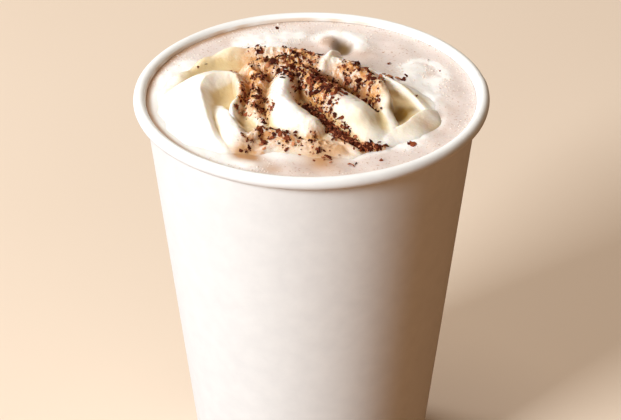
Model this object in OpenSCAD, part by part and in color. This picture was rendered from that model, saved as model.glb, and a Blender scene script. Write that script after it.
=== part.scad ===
// Hot chocolate in a paper cup, topped with whipped cream
//
// A single-wall paper cup of 12 oz: a conical wall with a rolled rim, a seam glued down
// its side, and a base held in the folded foot. The drink fills it to just under the rim,
// and a swirl of whipped cream floats in the drink, its waterline a few millimetres up.
//
// Z = 0 is the surface that the cup stands on. Z is the cup's axis, and -Y is its front.

/* [Cup] */
// Height of the cup, from its foot to the top of the rolled rim
cup_h = 110; // [98:1:125]
// Outer diameter over the rolled rim
rim_d = 90; // [88:1:96]
// Thickness of the rolled rim
roll_d = 3.2; // [2.6:0.1:3.8]
// Outer diameter of the wall at the foot
foot_d = 59.6; // [56:0.2:66]
// Thickness of the wall's paperboard
board_t = 0.4; // [0.3:0.05:0.5]
// Thickness of the base's paperboard
base_t = 0.35; // [0.3:0.05:0.45]
// Height of the base's upper face above the foot's edge
base_rise = 6; // [5:0.5:9]

/* [Seam] */
// Width of the overlap that is glued down the side
seam_w = 7; // [5:0.5:9]
// How far the overlap stands out of the wall
seam_t = 0.25; // [0.15:0.05:0.35]
// Direction of the seam round the cup, from +X towards +Y
seam_angle = 6; // [2:1:80]

/* [Drink] */
// Depth of the drink's surface below the top of the rim
headroom = 2; // [2:0.5:12]

/* [Cream] */
// Depth of the cream below the drink's surface
cream_draught = 5; // [3:0.5:8]
// Height of the cream's thin edge, where it melts into the drink
edge_h = 0.5; // [0.3:0.1:1]
// How high the folds stand, as a share of their heights in FOLDS
fold_scale = 1; // [0.6:0.05:1.2]
// How softly the folds run into each other, in millimetres
blend = 1; // [0.6:0.1:2]

/* [Hidden] */

arc_fn = 96;
roll_r = roll_d / 2;
roll_z = cup_h - roll_r;
roll_x = rim_d / 2 - roll_r;

// The wall's outer face is a cone. At the roll's height its inner face meets the roll's inner side.
foot_r = foot_d / 2;
wall_slope = (roll_x - roll_r + board_t - foot_r) / roll_z;
function wall_outer(z) = foot_r + wall_slope * z;
function wall_inner(z) = wall_outer(z) - board_t;

// The foot: the wall's lower edge is turned in and up, and holds the base's flange
fold_gap_z = board_t;
fold_top_z = base_rise - base_t - 0.6;
function fold_outer(z) = wall_inner(z) - base_t;
function fold_inner(z) = fold_outer(z) - board_t;

level_z = cup_h - headroom;

// The cream's waterline, seen from above: its angle-by-angle reach from its own centre
cream_x = -5;
cream_y = -3;
REACH = [37.6, 31, 27.5, 25, 25, 26.5, 28.5, 31.5, 34, 35, 34.6, 34.4, 33, 29, 28.5, 31.5, 34.5, 38.6];
spokes = 96;
rings = 26;

// How late on the way out to the waterline the folds sink away
edge_power = 8;

// Roundness of a fold across its width: 0.5 is half an ellipse, 1 a parabola
hump_power = 0.9;

// The folds of the cream. Each is a crest line of [x, y, height, half-width], and the
// height is counted from the drink's surface.
FOLDS = [
    // the big outer arm on the left, the hook it ends in and the thin lip that runs on from it
    [[-21, -28, 3, 8], [-25, -21, 4.8, 10], [-28, -10, 6.6, 11], [-28, -2, 7.2, 8], [-24, 1.8, 7.2, 6],
        [-19, 1, 6.6, 4.5], [-17, -4, 6.2, 2.6], [-19, -13, 4.8, 2.4], [-17, -24, 2.4, 2.4]],
    // the small ridge inside the arm
    [[-23, -10, 3.8, 2.6], [-20.5, -21, 4.6, 2.8], [-17.5, -29, 2, 2.6]],
    // the swirl behind it, running round the back
    [[-37, 1, 2.6, 5], [-31, 12, 5.4, 5], [-26, 15.5, 6.2, 5], [-16, 16.5, 6.2, 6], [-5, 16, 5.8, 6],
        [3, 14.5, 4.8, 5]],
    // the raised middle and its peak
    [[-15, 7, 6.4, 5], [-6, 7, 7.8, 6], [3, 7, 8.6, 5.5], [10, 5, 7.6, 5]],
    [[4, 6, 8.6, 3], [6, 9, 9, 3]],
    // the ridge that runs down the centre, and the fold to its left
    [[-4.5, 4, 8, 4], [-7.5, -4, 7.8, 4.2], [-7.4, -12, 6.9, 5], [-3, -18.5, 5.8, 5.5]],
    [[-15, 5, 6.4, 3.2], [-13, -4, 6.2, 3.2], [-13.5, -12, 4.4, 2.8]],
    // the low folds at the front
    [[-16, -24, 2.8, 2.4], [-11, -21, 3.8, 2.4], [-4.5, -24, 3.2, 2.8]],
    [[-8.5, -25.5, 2.8, 3.2], [6.5, -28.5, 1.6, 3]],
    // the round lobe on the right, and the ridge above it
    [[-1, 1, 7.6, 4], [6, -8, 7.2, 5.4], [12.4, -16, 5.8, 6], [15.6, -21.5, 3.4, 4.8]],
    [[8, 4, 7.4, 4], [15, -0.5, 6.6, 3.6], [18.8, -8, 5.2, 2.8], [19, -17, 3.2, 2.8]],
    // the flap behind the hollow at the right, and the curl in front of it
    [[12, 7.5, 6.2, 4.5], [20, 0.8, 5.2, 3.5], [28.8, -7.6, 2, 2.4]],
    [[19.4, -22, 2.8, 4], [24.2, -17.4, 4.1, 4.5], [29.6, -11.4, 4.1, 4], [32.4, -10, 2.4, 3]],
    // the low edge in front of the curl
    [[14.5, -27.4, 1.8, 3.2], [24, -21.6, 2.4, 4], [28, -17, 1.6, 3.5]]
];

/* ---------- helper functions ---------- */

// Reach of the waterline at an angle, on a smooth closed curve through REACH
function reach_at(a) =
    let (n = len(REACH), u = a / 360 * n, i = floor(u), t = u - i,
        p0 = REACH[(i - 1 + n) % n], p1 = REACH[i % n],
        p2 = REACH[(i + 1) % n], p3 = REACH[(i + 2) % n])
    p1 + 0.5 * t * (p2 - p0 + t * (2 * p0 - 5 * p1 + 4 * p2 - p3
        + t * (3 * (p1 - p2) + p3 - p0)));

// A point of the cream's plan: a share f of the reach, out along the angle a
function plan_point(f, a) =
    [cream_x + f * reach_at(a) * cos(a), cream_y + f * reach_at(a) * sin(a)];

// Height that the stretch from a to b of a fold gives at the point p: a round hump
function hump(p, a, b) =
    let (d = [b[0] - a[0], b[1] - a[1]],
        t = max(0, min(1, (p - [a[0], a[1]]) * d / (d * d))),
        s = norm(p - [a[0], a[1]] - t * d) / (a[3] + t * (b[3] - a[3])))
    (a[2] + t * (b[2] - a[2])) * pow(max(0, 1 - s * s), hump_power);

// Highest hump of one fold at p
function fold_height(p, fold) =
    max([for (i = [0 : len(fold) - 2]) hump(p, fold[i], fold[i + 1])]);

// Soft maximum of all folds at p, which is a fold's own height where the others are nought
function crest_height(p) =
    let (h = [for (fold = FOLDS) fold_height(p, fold)])
    blend * ln([for (v = h) exp(v / blend)] * [for (v = h) 1] - (len(h) - 1));

// The folds fade out over the last part of the way to the waterline
function cream_height(f, a) =
    edge_h + fold_scale * crest_height(plan_point(f, a)) * (1 - pow(f, edge_power));

/* ---------- the cup ---------- */

// Section of the wall with the turned-in foot
module wall_section() {
    polygon([
        [wall_outer(0), 0],
        [wall_outer(roll_z), roll_z],
        [wall_inner(roll_z), roll_z],
        [wall_inner(fold_gap_z), fold_gap_z],
        [fold_outer(fold_gap_z), fold_gap_z],
        [fold_outer(fold_top_z), fold_top_z],
        [fold_inner(fold_top_z), fold_top_z],
        [fold_inner(0), 0]
    ]);
}

// Section of the rolled rim: the board turned outwards, with its end just off the wall
module roll_section(outer_r) {
    translate([roll_x, roll_z])
        difference() {
            circle(outer_r, $fn = arc_fn);
            circle(roll_r - board_t, $fn = arc_fn);
            polygon([[0, 0], [-roll_d, 0], [-roll_d, -roll_d]]);
        }
}

// The strip down the side where one edge of the board lies over the other
module seam_strip() {
    intersection() {
        union() {
            rotate_extrude($fn = arc_fn)
                polygon([
                    [wall_outer(0) - board_t / 2, 0],
                    [wall_outer(0) + seam_t, 0],
                    [wall_outer(roll_z) + seam_t, roll_z],
                    [wall_outer(roll_z) - board_t / 2, roll_z]
                ]);
            rotate_extrude($fn = arc_fn)
                roll_section(roll_r + seam_t / 2);
        }
        rotate([0, 0, seam_angle])
            translate([0, -seam_w / 2, 0])
                cube([rim_d, seam_w, cup_h + seam_t]);
    }
}

module cup_wall() {
    color("white") {
        rotate_extrude($fn = arc_fn)
            union() {
                wall_section();
                roll_section(roll_r);
            }
        seam_strip();
    }
}

// The base: a disc with its edge turned down into the fold of the foot
module cup_base() {
    disc_z = base_rise - base_t;
    color("whitesmoke")
        rotate_extrude($fn = arc_fn)
            polygon([
                [0, disc_z],
                [fold_outer(disc_z), disc_z],
                [fold_outer(fold_gap_z), fold_gap_z],
                [wall_inner(fold_gap_z), fold_gap_z],
                [wall_inner(base_rise), base_rise],
                [0, base_rise]
            ]);
}

/* ---------- the contents ---------- */

// Outline of the cream at the drink's surface
module waterline() {
    polygon([for (k = [0 : spokes - 1]) plan_point(1, 360 * k / spokes)]);
}

// The drink fills the cup to its level, round the cream that floats in it
module drink() {
    color("rosybrown")
        difference() {
            rotate_extrude($fn = arc_fn)
                polygon([
                    [0, base_rise],
                    [wall_inner(base_rise), base_rise],
                    [wall_inner(level_z), level_z],
                    [0, level_z]
                ]);
            translate([0, 0, level_z - cream_draught])
                linear_extrude(2 * cream_draught)
                    waterline();
        }
}

// The cream: a skin of folds over its plan, closed by a straight side and a flat bottom
module whipped_cream() {
    bottom_z = level_z - cream_draught;
    last = spokes * rings;
    skin = [for (r = [1 : rings], k = [0 : spokes - 1])
        let (f = r / rings, a = 360 * k / spokes)
        concat(plan_point(f, a), level_z + (r == rings ? 0 : cream_height(f, a)))];
    floor_ring = [for (k = [0 : spokes - 1]) concat(plan_point(1, 360 * k / spokes), bottom_z)];
    peak = [cream_x, cream_y, level_z + cream_height(0, 0)];
    fan = [for (k = [0 : spokes - 1]) [last + spokes, (k + 1) % spokes, k]];
    bands = [for (r = [0 : rings - 2], k = [0 : spokes - 1])
        let (a = r * spokes + k, b = r * spokes + (k + 1) % spokes)
        each [[a, b, b + spokes], [a, b + spokes, a + spokes]]];
    side = [for (k = [0 : spokes - 1])
        let (a = last - spokes + k, b = last - spokes + (k + 1) % spokes)
        [a, b, b + spokes, a + spokes]];
    color("ivory")
        polyhedron(
            points = concat(skin, floor_ring, [peak]),
            faces = concat(fan, bands, side, [[for (k = [0 : spokes - 1]) last + k]])
        );
}

cup_wall();
cup_base();
drink();
whipped_cream();
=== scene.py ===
"""Hot chocolate in a paper cup, with a swirl of whipped cream and chocolate shavings.

Shapes are worked out in millimetres and put into meshes in metres. X is to the right, Y to
the back, Z up along the cup's axis. "Plan" is the view from straight above. Heights of froth
and cream are counted from the drink's level.
"""

from math import radians

import bpy
import numpy as np
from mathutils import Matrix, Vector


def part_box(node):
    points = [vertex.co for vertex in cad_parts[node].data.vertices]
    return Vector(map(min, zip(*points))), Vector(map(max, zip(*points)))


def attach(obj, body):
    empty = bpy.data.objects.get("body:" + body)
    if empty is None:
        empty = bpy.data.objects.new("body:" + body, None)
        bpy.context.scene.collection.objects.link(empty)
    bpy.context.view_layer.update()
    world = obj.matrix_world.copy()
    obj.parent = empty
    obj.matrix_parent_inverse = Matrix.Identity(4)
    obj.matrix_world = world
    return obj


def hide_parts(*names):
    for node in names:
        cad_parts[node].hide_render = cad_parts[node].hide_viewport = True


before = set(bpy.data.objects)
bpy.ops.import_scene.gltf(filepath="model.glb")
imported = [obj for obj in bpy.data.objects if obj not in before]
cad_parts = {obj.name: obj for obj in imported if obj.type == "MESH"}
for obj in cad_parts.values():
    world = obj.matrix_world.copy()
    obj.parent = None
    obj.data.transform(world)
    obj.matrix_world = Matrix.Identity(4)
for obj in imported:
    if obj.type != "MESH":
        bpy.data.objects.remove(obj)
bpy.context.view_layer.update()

MM = 0.001
SEED = 41


# -------------------- sizes from the frame


def box_mm(node):
    """Lowest and highest corner of a CAD node, in millimetres."""
    low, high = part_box(node)
    return np.array(low) / MM, np.array(high) / MM


wall_low, wall_high = box_mm("cup_wall")
base_low, base_high = box_mm("cup_base")
drink_low, drink_high = box_mm("drink")
cream_low = box_mm("whipped_cream")[0]

BOARD_T = 0.4                       # paperboard of the wall
BASE_T = 0.35                       # paperboard of the base
ROLL_R = 1.6                        # radius of the rolled rim
SEAM_T = 0.25                       # step of the glued seam
SEAM_W = 8.0                        # width over which the seam's step fades out
SEAM_AT = radians(10)               # direction of the seam's step, from +X towards +Y
# The roll was turned by a tool and is a little uneven: rows of [height, waves round it, phase]
UNEVEN = [[0.05, 3, 1], [0.035, 7, 0], [0.02, 17, 2]]
TIDE_AND_SHADE_AT = radians(130)              # direction in which the drink's tide line and the painted shade on the inner face are strongest
OVERLAP = 0.06                      # how far the drink reaches into the board, to leave no gap

LEVEL = drink_high[2]
BASE_Z = base_high[2]
RIM_R = -wall_low[0]
ROLL_X = RIM_R - ROLL_R
ROLL_Z = wall_high[2] - SEAM_T / 2 - ROLL_R
DRAUGHT = LEVEL - cream_low[2]

# The wall's inner face is a cone, known from the base's and the drink's own radii
WALL_SLOPE = (base_low[0] - drink_low[0]) / (LEVEL - BASE_Z)


def wall_inner(z):
    """Radius of the wall's inner face: straight up a cone."""
    return -base_low[0] + WALL_SLOPE * (z - BASE_Z)


def wall_outer(z):
    """Radius of the wall's outer face: the inner face and the board."""
    return wall_inner(z) + BOARD_T


# -------------------- camera


def make_camera():
    """A long lens, looking down on the rim from the front."""
    look_down = 31.14
    data = bpy.data.cameras.new("camera")
    data.lens = 150.9
    data.sensor_width = 36
    data.clip_start = 0.01
    camera = bpy.data.objects.new("camera", data)
    camera.location = (-0.0002, -0.578, 0.424)
    camera.rotation_euler = (radians(90 - look_down), 0, 0)
    bpy.context.scene.collection.objects.link(camera)
    bpy.context.scene.camera = camera


make_camera()


# -------------------- mesh helpers


def mesh_piece(name, points, faces, sharp=None):
    """A smooth-shaded mesh object from points in millimetres and arrays of quads or triangles."""
    corners = np.concatenate([f.ravel() for f in faces]).astype(np.int32)
    sizes = np.concatenate([np.full(len(f), f.shape[1]) for f in faces]).astype(np.int32)
    starts = np.concatenate([[0], np.cumsum(sizes)[:-1]]).astype(np.int32)
    mesh = bpy.data.meshes.new(name)
    mesh.vertices.add(len(points))
    mesh.vertices.foreach_set("co", (points * MM).astype(np.float32).ravel())
    mesh.loops.add(len(corners))
    mesh.loops.foreach_set("vertex_index", corners)
    mesh.polygons.add(len(sizes))
    mesh.polygons.foreach_set("loop_start", starts)
    mesh.polygons.foreach_set("use_smooth", np.ones(len(sizes), bool))
    mesh.update(calc_edges=True)
    mesh.validate()
    if sharp is not None:
        mesh.set_sharp_from_angle(angle=radians(sharp))
    piece = bpy.data.objects.new(name, mesh)
    bpy.context.scene.collection.objects.link(piece)
    return piece


def paint(piece, name, values):
    """A number for each point of a piece, for its material to read: the values for its first
    points, and 0 for those after them."""
    padded = np.zeros(len(piece.data.vertices), np.float32)
    padded[:values.size] = values.ravel()
    layer = piece.data.attributes.new(name, "FLOAT", "POINT")
    layer.data.foreach_set("value", padded)


def grid_faces(grid):
    """Quads between the neighbours of a grid of point numbers."""
    quads = np.stack([grid[:-1, :-1], grid[1:, :-1], grid[1:, 1:], grid[:-1, 1:]], axis=-1)
    return quads.reshape(-1, 4)


def grid_rim(grid):
    """The point numbers round the edge of a grid."""
    return np.concatenate([grid[:-1, 0], grid[-1, :-1], grid[:0:-1, -1], grid[0, :0:-1]])


def ring_faces(rings, spokes, first=0):
    """Quads between closed rings of points that are numbered ring by ring."""
    row = np.arange(rings - 1)[:, None] * spokes + first
    col = np.arange(spokes)[None, :]
    after = (col + 1) % spokes
    quads = [row + col, row + after, row + spokes + after, row + spokes + col]
    return np.stack(quads, axis=-1).reshape(-1, 4)


def fan_faces(centre, ring, flip=False):
    """Triangles from a centre point to a closed ring of points."""
    after = np.roll(ring, -1)
    a, b = (after, ring) if flip else (ring, after)
    return np.stack([np.full(len(ring), centre), a, b], axis=-1)


def catmull_rom(p0, p1, p2, p3, t):
    """The smooth curve between p1 and p2, at share t of the way:
    p1 + t/2 ((p2 - p0) + t ((2 p0 - 5 p1 + 4 p2 - p3) + t (3 (p1 - p2) + p3 - p0)))."""
    bend = (p2 - p0) + t * ((2 * p0 - 5 * p1 + 4 * p2 - p3) + t * (3 * (p1 - p2) + p3 - p0))
    return p1 + t / 2 * bend


def smooth_line(points, per_span=9):
    """Catmull-Rom curve through rows of numbers, every column alike."""
    p = np.asarray(points, float)
    ends = np.vstack([2 * p[0] - p[1], p, 2 * p[-1] - p[-2]])
    t = np.linspace(0, 1, per_span, endpoint=False)[None, :, None]
    near = (ends[i:i + len(p) - 1, None, :] for i in range(4))
    return np.vstack([catmull_rom(*near, t).reshape(-1, p.shape[1]), p[-1:]])


def waves(x, y, size, count, seed):
    """Even, unrepeating ripple of about one unit: the sum of count sine waves, each
    sin(k . (x, y) + phase), whose lengths are near size and whose directions are random."""
    rng = np.random.default_rng(seed)
    turn = rng.uniform(0, 2 * np.pi, count)
    length = size * rng.uniform(0.7, 1.5, count)
    phase = rng.uniform(0, 2 * np.pi, count)
    kx, ky = np.cos(turn) * 2 * np.pi / length, np.sin(turn) * 2 * np.pi / length
    total = np.zeros_like(x)
    for i in range(count):
        total += np.sin(kx[i] * x + ky[i] * y + phase[i])
    return total / np.sqrt(count / 2)


def soft_max(a, b, k):
    """The larger of a and b, with the crease rounded over a difference of k:
    max(a, b) + max(k - |a - b|, 0)^2 / 4k."""
    return np.maximum(a, b) + np.maximum(k - np.abs(a - b), 0) ** 2 / (4 * k)


def step(x, low, high):
    """0 below low, 1 above high, and t^2 (3 - 2t) between."""
    t = np.clip((x - low) / (high - low), 0, 1)
    return t * t * (3 - 2 * t)


# -------------------- the cup


def arc(centre_r, centre_z, radius, start, end, count):
    """Points of a circular arc in the (r, z) half-plane, from start to end degrees."""
    a = np.radians(np.linspace(start, end, count))
    return np.stack([centre_r + radius * np.cos(a), centre_z + radius * np.sin(a)], axis=-1)


def line(r0, z0, r1, z1, count):
    """Points of a straight line in the (r, z) half-plane."""
    t = np.linspace(0, 1, count)[:, None]
    return np.array([r0, z0]) * (1 - t) + np.array([r1, z1]) * t


def cup_section():
    """The board's closed section, and how far each point moves outwards with the seam's step.
    It runs up the outer face, round inside the roll, back over the roll, down the inner face,
    and round the turned-in foot."""
    edge = BOARD_T / 2
    gap_z = BOARD_T
    fold_top = BASE_Z - BASE_T - 0.6
    tuck = -135
    foot = wall_outer(0)
    fold = wall_inner(0) - BASE_T - BOARD_T
    outer = line(foot, edge, wall_outer(ROLL_Z), ROLL_Z, 40)
    inside_roll = arc(ROLL_X, ROLL_Z, ROLL_R - BOARD_T, 180, tuck, 32)[1:]
    end_turn = np.radians(tuck)
    end_r = ROLL_X + (ROLL_R - edge) * np.cos(end_turn)
    end_z = ROLL_Z + (ROLL_R - edge) * np.sin(end_turn)
    end = arc(end_r, end_z, edge, tuck + 180, tuck, 8)[1:-1]
    over_roll = arc(ROLL_X, ROLL_Z, ROLL_R, tuck, 180, 48)
    inner = line(wall_inner(ROLL_Z), ROLL_Z, wall_inner(gap_z), gap_z, 40)[1:]
    fold_out = line(wall_inner(gap_z) - BASE_T, gap_z, wall_inner(fold_top) - BASE_T, fold_top, 6)
    fold_in = line(fold_out[-1, 0] - BOARD_T, fold_top, fold, edge, 8)
    bottom = np.vstack([arc(fold + edge, edge, edge, 180, 270, 5)[1:],
                        arc(foot - edge, edge, edge, 270, 360, 5)[:-1]])
    parts = [outer, inside_roll, end, over_roll, inner, fold_out, fold_in, bottom]
    section = np.vstack(parts)
    lift = np.zeros_like(section)
    lift[:len(outer), 0] = 1
    first = len(outer) + len(inside_roll) + len(end)
    roll = slice(first, first + len(over_roll))
    away = (section[roll] - [ROLL_X, ROLL_Z]) / ROLL_R
    lift[roll] = 0.5 * away * step(away[:, :1], -0.9, 0.2)
    return section, lift


def make_cup():
    """The section turned round the axis: point (i, j) is (r cos a, r sin a, z), with r and z
    moved by the seam's step at that angle, and r on the roll by its unevenness."""
    section, lift = cup_section()
    turn = np.linspace(0, 2 * np.pi, 420, endpoint=False)
    near = SEAM_AT + np.linspace(-0.012, 0.012, 9)
    turn = np.sort(np.concatenate([turn, near]))
    behind = (SEAM_AT - turn) * RIM_R
    seam = SEAM_T * step(behind, -0.25, 0.25) * (1 - step(behind, 1.5, SEAM_W))
    r = section[:, 0, None] + lift[:, 0, None] * seam
    z = section[:, 1, None] + lift[:, 1, None] * seam
    uneven = sum(h * np.sin(count * turn + phase) for h, count, phase in UNEVEN)
    on_roll = step(section[:, 1, None], ROLL_Z - 2.5 * ROLL_R, ROLL_Z - ROLL_R)
    r = r + uneven * on_roll * step(section[:, 0, None], ROLL_X - ROLL_R, ROLL_X)
    points = np.stack([r * np.cos(turn), r * np.sin(turn), z + 0 * turn], axis=-1).reshape(-1, 3)
    rows = len(section)
    quads = ring_faces(rows, len(turn))
    last = (rows - 1) * len(turn) + np.arange(len(turn))
    start = np.arange(len(turn))
    close = np.stack([last, np.roll(last, -1), np.roll(start, -1), start], axis=-1)
    cup = mesh_piece("paper_cup", points, [np.vstack([quads, close])[:, ::-1]], sharp=50)
    # the tide line that the drink has left on the inner face, with painted shade there too, strongest
    # towards the back left
    inner = step(section[:, 0] - (wall_inner(section[:, 1]) + 0.12), 0.1, 0)[:, None]
    above = section[:, 1, None] - LEVEL
    band = step(above, -1.0, -0.2) * (1 - step(above, 0.9, 2.4))
    side = 0.05 + 0.6 * step(np.cos(turn - TIDE_AND_SHADE_AT), 0.1, 0.8)
    side = side * (0.7 + 0.3 * np.sin(23 * turn + 2 * np.sin(9 * turn)))
    paint(cup, "stain_and_shade", inner * band * side)
    return cup


# -------------------- the cream's folds

CREAM_X, CREAM_Y = -5, -3
# Distance of the waterline from that centre, every 20 degrees from +X towards +Y
REACH = [37.6, 31, 27.5, 25, 25, 26.5, 28.5, 31.5, 34, 35, 34.6, 34.4, 30.5, 26.5, 28, 31.5,
         34.5, 38.6]
MELTS_AT = radians(225)             # direction in which the cream melts most into the froth
CURL_AT = radians(342)              # direction of the curl's tip, which melts a little too

# How a fold's side falls away from its crest: with u the share of the half-width, the height is
# that of the crest times (1 - u^a)^b, and each side is given as (a, b)
DOME, ROUND, SOFT, SCOOP, CLIFF = (2, 0.6), (2, 0.9), (2, 1.4), (1, 1.15), (3, 0.6)

# Each fold: its crest as rows of [x, y, height, half-width on the left, half-width on the
# right], left and right being those of someone who walks along it; the shape of each side; and
# how far the crest leans over to the right.
FOLDS = {
    "outer_arm": dict(lean=0.8, left=ROUND, right=SCOOP, crest=[
        [-18, -32, 1.0, 6, 4], [-21.5, -28, 3.2, 9, 5.5], [-24.6, -22, 4.9, 12, 4.6],
        [-26.6, -15, 6.0, 13, 4.2], [-28, -8, 6.8, 13, 5.5], [-28.4, -2.8, 7.2, 11, 7.5],
        [-26, 0.9, 7.2, 6.5, 8.5], [-22.2, 2.2, 7.0, 4.5, 8], [-18.8, 1, 6.6, 4, 5.5],
        [-17.2, -1.5, 6.0, 3, 3.2]]),
    "pointed_lip": dict(lean=0.8, left=SCOOP, right=CLIFF, crest=[
        [-18.2, 0.6, 6.4, 3, 2], [-17, -4, 6.2, 3, 1.8], [-17.3, -8.6, 5.4, 3, 1.6],
        [-18.8, -12.4, 4.8, 2.6, 1.6], [-18, -17.5, 3.9, 2, 1.6], [-16, -24, 2.4, 2.2, 1.8]]),
    "inner_ridge": dict(lean=-0.3, left=ROUND, right=DOME, crest=[
        [-22.8, -9, 3.0, 2.4, 3], [-21.2, -14.5, 4.2, 3, 3.6], [-19.6, -20.5, 4.5, 4.4, 3.6],
        [-18, -25, 3.2, 5.4, 3.4], [-17, -28, 1.4, 4, 2.8]]),
    "back_swirl": dict(lean=0.6, left=DOME, right=SCOOP, crest=[
        [-38, -1, 2.2, 3, 5], [-35.8, 6.5, 3.8, 3, 5], [-31.5, 13, 5.4, 3, 5],
        [-26.5, 16.8, 6.4, 3.4, 5.6], [-20, 17.4, 6.6, 4, 6], [-13, 17, 6.2, 4.4, 7],
        [-5, 16, 5.8, 4.4, 7], [3, 14.5, 4.8, 4, 6]]),
    "middle": dict(lean=0, left=ROUND, right=ROUND, crest=[
        [-15, 7, 6.2, 4.5, 5], [-9, 7, 7.4, 5, 6], [-2, 7, 8.2, 5, 6], [4, 6.5, 8.4, 5, 5.5],
        [10, 5, 7.6, 4.6, 5]]),
    "peak": dict(lean=0, left=ROUND, right=ROUND, crest=[
        [3, 4.5, 8.2, 3, 3], [5, 8, 9.2, 2.6, 2.6], [6.5, 10.5, 8, 3, 3]]),
    "centre_ridge": dict(lean=-0.4, left=DOME, right=DOME, crest=[
        [-4.5, 4, 7.6, 5, 5], [-7, -2, 7.7, 4.6, 4.6], [-8.0, -8.5, 7.2, 4.5, 4.3],
        [-6.6, -14, 6.6, 5.4, 4.6], [-4, -17.6, 6.0, 6, 5], [-1, -19.6, 5.0, 5.2, 4.6]]),
    "left_fold": dict(lean=0.4, left=ROUND, right=DOME, crest=[
        [-15, 5, 6.4, 3.4, 3], [-12.8, -1, 6.6, 3.4, 3], [-13.2, -7.5, 5.6, 3.2, 3],
        [-14, -11.5, 4.6, 2.8, 3], [-12.2, -15.5, 3.4, 2.4, 2.6]]),
    "left_crease": dict(lean=0.4, left=SOFT, right=CLIFF, crest=[
        [-17, -25.5, 1.8, 2, 1.4], [-15, -22.5, 3.2, 2.4, 1.4], [-12, -20.8, 3.8, 2.6, 1.5],
        [-8.5, -21.5, 3.6, 2.6, 1.5], [-4.5, -23.6, 3.2, 2.4, 1.6]]),
    "front_crease": dict(lean=0.3, left=ROUND, right=ROUND, crest=[
        [-13.5, -28.5, 1.6, 1.6, 1.6], [-10.4, -26.2, 2.8, 1.8, 1.6], [-7.6, -24, 3.2, 1.8, 1.8]]),
    "front_fold": dict(lean=0, left=ROUND, right=DOME, crest=[
        [-8.5, -24.2, 2.8, 3, 3], [-4.5, -25.6, 2.8, 3.4, 3.2], [1, -26.4, 2.5, 3.6, 3],
        [6.5, -27.4, 1.8, 3, 3]]),
    "right_lobe": dict(lean=0.5, left=DOME, right=DOME, crest=[
        [-2.4, 2.5, 7.8, 4, 4], [0.6, -1.6, 7.6, 4.2, 4], [4.8, -7, 7.3, 5, 4.8],
        [8.8, -12, 6.9, 6.4, 5.6], [12.2, -16.4, 5.8, 6.6, 5.6], [14.6, -20.6, 3.9, 5.4, 4.4]]),
    "upper_ridge": dict(lean=-0.4, left=CLIFF, right=ROUND, crest=[
        [8, 4, 7.6, 4, 4], [12.5, 1.5, 7.0, 3.4, 4], [16.4, -2.4, 6.2, 2.8, 3.6],
        [18.4, -7.4, 5.4, 2.2, 3.4], [18.6, -12.5, 4.4, 2.2, 3.4], [18.8, -17, 3.5, 3.4, 3.4],
        [19.5, -22, 2.4, 4, 3.6]]),
    "right_curl": dict(lean=-0.6, left=CLIFF, right=SOFT, crest=[
        [19.4, -22.4, 2.6, 2, 5], [21.8, -20, 3.4, 1.5, 8], [24.2, -17.6, 4.0, 1.3, 10],
        [26.8, -13.2, 4.5, 1.3, 10], [29.8, -9.8, 4.3, 1.5, 9], [32.8, -8.4, 2.6, 2, 6]]),
    "front_lip": dict(lean=0, left=ROUND, right=ROUND, crest=[
        [7.5, -25, 1.8, 1.2, 1.2], [9.6, -27.4, 2.6, 1.3, 1.3], [12.6, -28.8, 2.7, 1.3, 1.3],
        [16.4, -29.2, 1.8, 1.2, 1.2]]),
    "far_flap": dict(lean=0.5, left=ROUND, right=SCOOP, crest=[
        [12, 7.5, 6.2, 5, 4], [16.5, 3.8, 5.8, 4, 3.6], [20.2, 0.8, 5.2, 3.4, 3.4],
        [23.8, -1.4, 4.6, 3, 3.2], [26.6, -4.2, 3.4, 2.6, 2.6], [28.8, -7.6, 2.0, 2.2, 2.2]]),
    "tail": dict(lean=0, left=ROUND, right=ROUND, crest=[
        [14.5, -27.4, 1.8, 3.5, 3], [19.5, -24.8, 2.4, 4, 3.6], [24, -21.6, 2.2, 4, 3.6],
        [28, -17, 1.4, 3.5, 3.5]]),
}
BLEND = 0.9                         # softness of the valleys between folds
BODY_H = 1.3                        # height of the cream between the folds
# Ripples of the cream: rows of [height, length, number of waves]
RIPPLES = [[0.16, 7, 14], [0.045, 2.8, 20], [0.010, 1.1, 24]]
CREAM_GRID = 272                    # points along each side of the cream's grid
# Hollows pressed deeper: rows of [x, y, radius, depth]
PITS = [[22.6, -12, 3.4, 0.8], [-20.5, -6, 4, 0.3]]
# Where the cream is torn and crumbly: rows of [x, y, radius, share]
TORN = [[-14, -8, 5, 1], [-13, -22, 5, 1], [-10, 9, 6, 0.7], [-2, 4, 5, 0.6], [-6, 15, 5, 0.6],
        [10, 2, 4, 0.8], [15, -4, 3, 0.6], [2, -27, 5, 0.9], [-15, 3, 4, 0.8], [4, -5, 4, 0.7],
        [13, -10, 2.5, 0.5], [-4, 11, 5, 0.8], [3, -13, 2.4, 0.6]]
# Where painted shade tints the cream a warm beige, in its hollows, on faces turned from the light and
# over the right side: rows of [x, y, radius, share]
PAINTED_SHADE_SPOTS = [[-30, 7, 3.6, 1.8], [-31, 12, 4, 1.2], [-26, 15, 4, 1.3], [-20, 16, 4, 1.0],
        [-25.5, 9.5, 4, 2.6], [-19.5, 11, 4, 2.6], [-14, 11, 4, 1.8], [-21.5, -3, 4, 1.3],
        [-19.5, -8, 3, 0.4], [-15, -18, 3, 0.9], [21.5, -6, 4, 1.3], [16, -3, 3, 1.2],
        [23, -11, 3.4, 1.6], [6.4, -17, 2.4, 1.1], [10, -19, 2.8, 1.2], [12.5, -23, 2.8, 1.0],
        [24, -2, 3.4, 0.8], [15, -12, 13, 0.15], [0, -26, 6, 0.6], [28, -15, 4.5, 0.7],
        [23, -19.5, 3, 0.7], [15.6, -14, 3, 0.8], [10, -12, 4.5, 0.1], [16, -18.5, 3, 1.4],
        [-13, -13, 2.4, 0.8]]
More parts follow.
